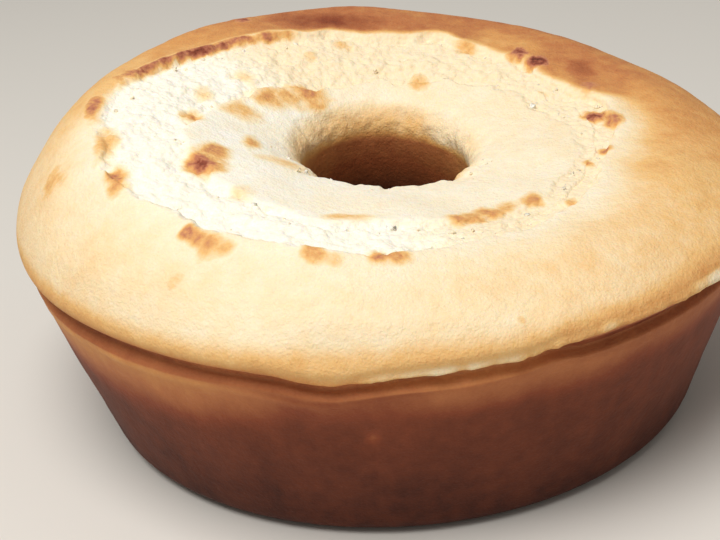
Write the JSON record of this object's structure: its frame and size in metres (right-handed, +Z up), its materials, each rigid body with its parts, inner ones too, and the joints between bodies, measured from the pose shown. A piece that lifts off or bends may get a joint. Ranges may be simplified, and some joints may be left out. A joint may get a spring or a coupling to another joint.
{
  "type": "ring-shaped cornmeal cake",
  "caption": "Round cornmeal cake baked in a tube pan: flared brown side, swollen golden crown with a burst ring of pale crumb, and a hole through the middle.",
  "frame": {"origin": "middle of the flat base, on the surface that the cake stands on", "axes": "+Z up through the hole, -Y towards the side that the picture shows in front, +X to its right"},
  "size_m": [0.2436, 0.2406, 0.1078],
  "materials": {
    "cake_crust": "dry matt baked crust, golden cream on the crown, brown on the side, near white in the burst crumb"
  },
  "bodies": {
    "root": {"cake": "cake_crust"}
  },
  "joints": []
}
